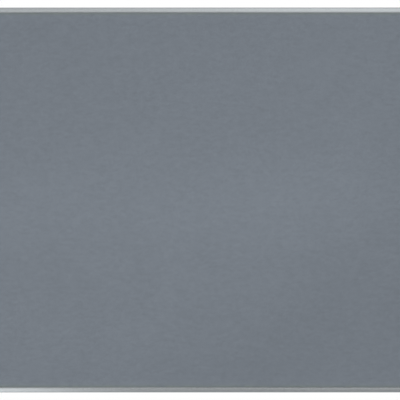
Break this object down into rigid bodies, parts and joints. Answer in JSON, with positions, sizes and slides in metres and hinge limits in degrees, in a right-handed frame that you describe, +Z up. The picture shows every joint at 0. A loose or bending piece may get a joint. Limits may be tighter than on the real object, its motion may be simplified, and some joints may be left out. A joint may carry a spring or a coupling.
{
  "type": "felt noticeboard",
  "caption": "Wall-hung felt pin board in a slim aluminium frame with moulded corners, hung on keyhole plates that slide along the frame's rear channel.",
  "frame": {"origin": "the point on the wall behind the middle of the board", "axes": "+X to the right as seen from the front, +Y through the wall, away from the viewer, +Z up; the felt faces -Y"},
  "size_m": [1.2, 0.0243, 0.9],
  "materials": {
    "felt": "mid-grey needle felt with a fine mottled nap",
    "softboard": "soft wood-fibre board, raw",
    "hardboard": "brown hardboard, mesh side out",
    "aluminium": "natural satin anodised, fine die lines along its length",
    "corner_plastic": "light grey, fine spark texture",
    "zinc_steel": "bright zinc plate",
    "rubber": "black, matt"
  },
  "bodies": {
    "board": {"felt_facing": "felt", "softboard_core": "softboard", "hardboard_back": "hardboard", "top_rail": "aluminium", "bottom_rail": "aluminium", "left_rail": "aluminium", "right_rail": "aluminium", "corner_bottom_left": "corner_plastic", "corner_top_left": "corner_plastic", "corner_top_right": "corner_plastic", "corner_bottom_right": "corner_plastic", "corner_screw_bottom_left_across": "zinc_steel", "corner_screw_bottom_left_upright": "zinc_steel", "corner_screw_top_left_across": "zinc_steel", "corner_screw_top_left_upright": "zinc_steel", "corner_screw_top_right_across": "zinc_steel", "corner_screw_top_right_upright": "zinc_steel", "corner_screw_bottom_right_across": "zinc_steel", "corner_screw_bottom_right_upright": "zinc_steel", "bumper_bottom_left": "rubber", "bumper_top_left": "rubber", "bumper_top_right": "rubber", "bumper_bottom_right": "rubber"},
    "hanger_left": {"hanger_plate_left": "zinc_steel", "hanger_nut_left": "zinc_steel", "hanger_bolt_left": "zinc_steel"},
    "hanger_right": {"hanger_plate_right": "zinc_steel", "hanger_nut_right": "zinc_steel", "hanger_bolt_right": "zinc_steel"}
  },
  "joints": [
    {"name": "hanger_left_slide", "type": "slide", "parent": "board", "child": "hanger_left", "axis": [1, 0, 0], "range_m": [-0.1555, 0.3815]},
    {"name": "hanger_right_slide", "type": "slide", "parent": "board", "child": "hanger_right", "axis": [1, 0, 0], "range_m": [-0.3815, 0.1555]}
  ]
}
